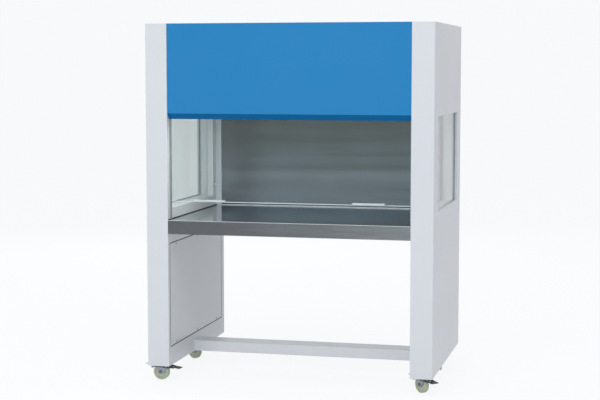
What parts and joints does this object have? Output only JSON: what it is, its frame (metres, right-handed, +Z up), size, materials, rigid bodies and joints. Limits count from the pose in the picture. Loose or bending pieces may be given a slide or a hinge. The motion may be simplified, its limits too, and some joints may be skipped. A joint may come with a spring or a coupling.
{
  "type": "horizontal laminar flow clean bench",
  "caption": "Free-standing clean bench with a glazed work chamber, blue hood front, sliding front glass, stainless worktop and rear filter wall, on braked swivel castors.",
  "frame": {"origin": "on the floor, under the middle of the bench", "axes": "+X to the right of a person facing the open front, +Y to the rear filter wall, +Z up"},
  "size_m": [1.3406, 0.86, 1.595],
  "materials": {
    "white_enamel": "semi-gloss powder coat",
    "blue_enamel": "semi-gloss powder coat",
    "stainless": "brushed lengthwise",
    "zinc_plate": "bright zinc plate",
    "dark_steel": "black lacquer",
    "aluminium": "mill finish",
    "steel": "turned",
    "dark_casting": "dark grey paint",
    "clear_glass": "clear float glass",
    "lamp_glass": "phosphor-coated tube",
    "cream_plastic": "moulded nylon",
    "pale_plastic": "moulded, smooth",
    "white_plastic": "moulded",
    "black_rubber": "closed-cell foam",
    "filter_fleece": "non-woven mat",
    "filter_paper": "pleated glass-fibre paper"
  },
  "bodies": {
    "cabinet": {"left_side_casing": "white_enamel", "right_side_casing": "white_enamel", "left_inner_panel": "white_enamel", "right_inner_panel": "white_enamel", "left_access_cover": "white_enamel", "right_access_cover": "white_enamel", "left_castor_channel": "zinc_plate", "right_castor_channel": "zinc_plate", "left_inner_pane": "clear_glass", "right_inner_pane": "clear_glass", "left_outer_pane": "clear_glass", "right_outer_pane": "clear_glass", "left_window_spacer": "aluminium", "right_window_spacer": "aluminium", "worktop": "stainless", "left_worktop_rail": "zinc_plate", "right_worktop_rail": "zinc_plate", "crossbar": "white_enamel", "hood_fascia": "blue_enamel", "hood_deck": "zinc_plate", "top_cover": "white_enamel", "prefilter": "filter_fleece", "back_cover": "white_enamel", "plenum_floor": "zinc_plate", "plenum_divider": "zinc_plate", "diffuser_frame": "white_enamel", "diffuser_panel": "stainless", "hepa_gasket": "black_rubber", "hepa_frame": "aluminium", "hepa_media": "filter_paper", "fan_housing": "zinc_plate", "fan_motor": "dark_casting", "fluorescent_lamp": "lamp_glass", "germicidal_lamp": "lamp_glass", "lamp_holders": "white_plastic", "left_sash_guide": "white_enamel", "right_sash_guide": "white_enamel", "panel_screws": "steel", "castor_plates": "zinc_plate"},
    "sash": {"sash_glass": "clear_glass", "left_sash_handle": "pale_plastic", "right_sash_handle": "pale_plastic"},
    "fan_rotor": {"fan_impeller": "zinc_plate", "fan_shaft": "steel"},
    "front_left_castor": {"front_left_fork": "zinc_plate", "front_left_axle": "steel"},
    "front_left_roller": {"front_left_wheel": "cream_plastic"},
    "front_left_brake": {"front_left_brake_lever": "dark_steel"},
    "front_right_castor": {"front_right_fork": "zinc_plate", "front_right_axle": "steel"},
    "front_right_roller": {"front_right_wheel": "cream_plastic"},
    "front_right_brake": {"front_right_brake_lever": "dark_steel"},
    "rear_left_castor": {"rear_left_fork": "zinc_plate", "rear_left_axle": "steel"},
    "rear_left_roller": {"rear_left_wheel": "cream_plastic"},
    "rear_left_brake": {"rear_left_brake_lever": "dark_steel"},
    "rear_right_castor": {"rear_right_fork": "zinc_plate", "rear_right_axle": "steel"},
    "rear_right_roller": {"rear_right_wheel": "cream_plastic"},
    "rear_right_brake": {"rear_right_brake_lever": "dark_steel"}
  },
  "joints": [
    {"name": "sash_slide", "type": "slide", "parent": "cabinet", "child": "sash", "axis": [0, 0, 1], "range_m": [-0.078, 0.315]},
    {"name": "fan_spin", "type": "hinge", "parent": "cabinet", "child": "fan_rotor", "pos_m": [0, 0.04, 1.4], "axis": [1, 0, 0], "continuous": true},
    {"name": "front_left_swivel", "type": "hinge", "parent": "cabinet", "child": "front_left_castor", "pos_m": [-0.591, -0.358, 0.09], "axis": [0, 0, 1], "continuous": true},
    {"name": "front_left_roll", "type": "hinge", "parent": "front_left_castor", "child": "front_left_roller", "pos_m": [-0.60096, -0.35713, 0.0375], "axis": [-0.0872, -0.9962, 0], "continuous": true},
    {"name": "front_left_brake_rock", "type": "hinge", "parent": "front_left_castor", "child": "front_left_brake", "pos_m": [-0.57307, -0.35957, 0.062], "axis": [-0.0872, -0.9962, 0], "range_deg": [0, 8]},
    {"name": "front_right_swivel", "type": "hinge", "parent": "cabinet", "child": "front_right_castor", "pos_m": [0.591, -0.358, 0.09], "axis": [0, 0, 1], "continuous": true},
    {"name": "front_right_roll", "type": "hinge", "parent": "front_right_castor", "child": "front_right_roller", "pos_m": [0.58381, -0.35105, 0.0375], "axis": [-0.6947, -0.7193, 0], "continuous": true},
    {"name": "front_right_brake_rock", "type": "hinge", "parent": "front_right_castor", "child": "front_right_brake", "pos_m": [0.60395, -0.3705, 0.062], "axis": [-0.6947, -0.7193, 0], "range_deg": [0, 8]},
    {"name": "rear_left_swivel", "type": "hinge", "parent": "cabinet", "child": "rear_left_castor", "pos_m": [-0.591, 0.125, 0.09], "axis": [0, 0, 1], "continuous": true},
    {"name": "rear_left_roll", "type": "hinge", "parent": "rear_left_castor", "child": "rear_left_roller", "pos_m": [-0.59991, 0.12954, 0.0375], "axis": [-0.454, -0.891, 0], "continuous": true},
    {"name": "rear_left_brake_rock", "type": "hinge", "parent": "rear_left_castor", "child": "rear_left_brake", "pos_m": [-0.57496, 0.11683, 0.062], "axis": [-0.454, -0.891, 0], "range_deg": [0, 8]},
    {"name": "rear_right_swivel", "type": "hinge", "parent": "cabinet", "child": "rear_right_castor", "pos_m": [0.591, 0.125, 0.09], "axis": [0, 0, 1], "continuous": true},
    {"name": "rear_right_roll", "type": "hinge", "parent": "rear_right_castor", "child": "rear_right_roller", "pos_m": [0.58961, 0.1349, 0.0375], "axis": [-0.9903, -0.1392, 0], "continuous": true},
    {"name": "rear_right_brake_rock", "type": "hinge", "parent": "rear_right_castor", "child": "rear_right_brake", "pos_m": [0.5935, 0.10718, 0.062], "axis": [-0.9903, -0.1392, 0], "range_deg": [0, 8]}
  ]
}
